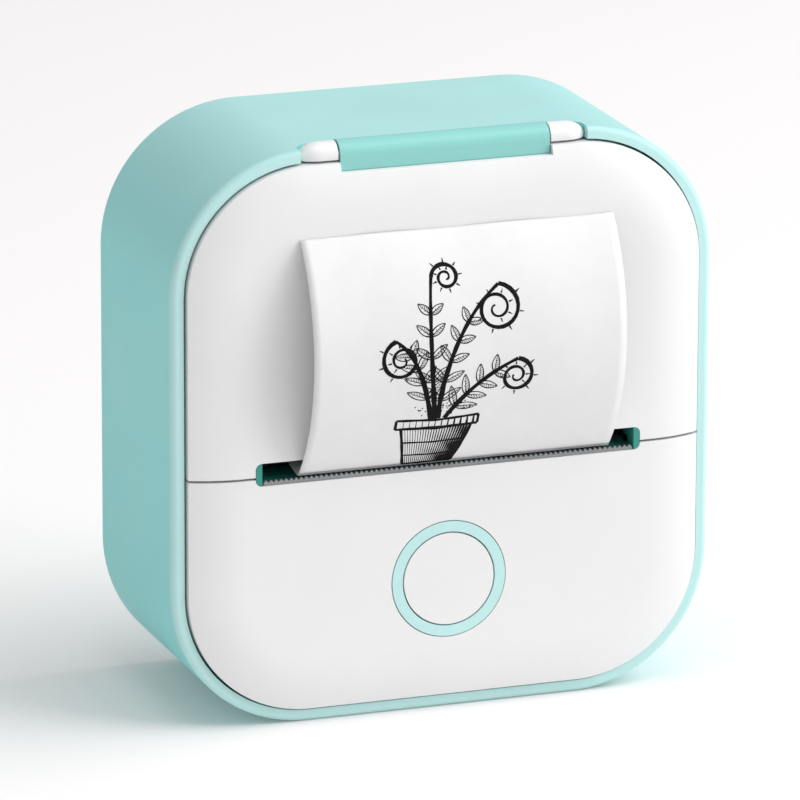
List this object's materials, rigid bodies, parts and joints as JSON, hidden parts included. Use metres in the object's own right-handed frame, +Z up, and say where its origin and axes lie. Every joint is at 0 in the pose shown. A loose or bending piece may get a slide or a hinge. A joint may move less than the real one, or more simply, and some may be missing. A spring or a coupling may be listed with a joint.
{
  "type": "pocket printer",
  "caption": "Pocket thermal printer: mint housing, white cover hinged at the top over the paper roll, paper slot with a serrated blade, and a round button below.",
  "frame": {"origin": "middle of the underside of the bounding box, on the surface it stands on", "axes": "+X to the right seen from the front, +Y from the front to the back, +Z up"},
  "size_m": [0.083, 0.0434, 0.0867],
  "materials": {
    "mint_plastic": "smooth satin",
    "mint_deep": "satin",
    "white_plastic": "soft gloss",
    "grey_plastic": "satin",
    "cream_plastic": "satin",
    "clear_plastic": "frosted",
    "black_plastic": "satin",
    "steel": "bright",
    "blade_steel": "stamped",
    "aluminium_bar": "extruded",
    "ceramic": "glazed",
    "platen_rubber": "ground",
    "foam": "open cell",
    "brass_pinion": "turned",
    "board_green": "solder mask",
    "paper": "smooth thermal paper",
    "card": "card",
    "silver_film": "pouch film",
    "lead_cover": "extruded",
    "amber_film": "film"
  },
  "bodies": {
    "body": {"housing": "mint_plastic", "back_cover": "mint_plastic", "back_screws": "steel", "hinge_cap_left": "white_plastic", "hinge_cap_right": "white_plastic", "hinge_pin": "steel", "front_panel": "white_plastic", "panel_screws": "steel", "button_ring": "mint_plastic", "slot_floor": "mint_deep", "tear_blade": "blade_steel", "switch_body": "steel", "gear_axles": "steel", "axle_clip": "steel", "print_chassis": "steel", "chassis_screws": "steel", "motor_can": "steel", "motor_flange": "steel", "motor_screws": "steel", "head_springs": "steel", "paper_tray": "grey_plastic", "tray_screws": "steel", "paper_web": "paper", "paper_sensor": "black_plastic", "main_board": "board_green", "board_screws": "steel", "board_chips": "black_plastic", "radio_module": "silver_film", "board_connectors": "cream_plastic", "usb_shell": "steel", "usb_tongue": "black_plastic", "light_pipe": "clear_plastic", "battery": "silver_film", "battery_pad": "foam", "battery_leads": "lead_cover", "motor_leads": "lead_cover", "head_ribbon": "amber_film"},
    "cover": {"cover_shell": "white_plastic", "cover_frame": "mint_plastic", "frame_screws": "steel", "printed_strip": "paper", "platen_bush_left": "cream_plastic", "platen_bush_right": "cream_plastic"},
    "platen": {"platen_shaft": "steel", "platen_rubber": "platen_rubber", "platen_gear": "cream_plastic", "platen_clip": "steel"},
    "idler": {"idler_gear": "cream_plastic"},
    "reduction": {"reduction_gear": "cream_plastic"},
    "rotor": {"motor_pinion": "brass_pinion", "motor_shaft": "steel"},
    "head": {"head_strip": "ceramic", "head_chip_cover": "black_plastic", "head_heat_sink": "aluminium_bar", "head_pivot_shaft": "steel"},
    "roll": {"paper_roll": "paper", "paper_core": "card"},
    "button": {"button_cap": "white_plastic", "switch_plunger": "black_plastic"}
  },
  "joints": [
    {"name": "cover_hinge", "type": "hinge", "parent": "body", "child": "cover", "pos_m": [0, -0.012, 0.085], "axis": [-1, 0, 0], "range_deg": [0, 110]},
    {"name": "paper_roll_spin", "type": "hinge", "parent": "body", "child": "roll", "pos_m": [0, 0.0043, 0.06115], "axis": [1, 0, 0], "continuous": true},
    {"name": "platen_spin", "type": "hinge", "parent": "cover", "child": "platen", "pos_m": [0, -0.0067, 0.0437], "axis": [1, 0, 0], "continuous": true},
    {"name": "idler_spin", "type": "hinge", "parent": "body", "child": "idler", "pos_m": [0, 0.00285, 0.04493], "axis": [1, 0, 0], "continuous": true},
    {"name": "reduction_spin", "type": "hinge", "parent": "body", "child": "reduction", "pos_m": [0, 0.00499, 0.03636], "axis": [1, 0, 0], "continuous": true},
    {"name": "motor_spin", "type": "hinge", "parent": "body", "child": "rotor", "pos_m": [0, 0.00193, 0.02723], "axis": [1, 0, 0], "continuous": true},
    {"name": "head_tilt", "type": "hinge", "parent": "body", "child": "head", "pos_m": [0, -0.00322, 0.03699], "axis": [-1, 0, 0], "range_deg": [0, 2.5], "stiffness_Nm_per_rad": 0.5, "springref_deg": -5.73, "deforming": ["head_springs"]},
    {"name": "button_press", "type": "slide", "parent": "body", "child": "button", "axis": [0, 1, 0], "range_m": [0, 0.00035], "stiffness_N_per_m": 800, "springref_m": -0.0004}
  ],
  "couplings": [
    {"joint": "platen_spin", "follows": "paper_roll_spin", "ratio": 3.15},
    {"joint": "idler_spin", "follows": "paper_roll_spin", "ratio": -1.89},
    {"joint": "reduction_spin", "follows": "paper_roll_spin", "ratio": 4.05},
    {"joint": "motor_spin", "follows": "paper_roll_spin", "ratio": -12.15}
  ]
}
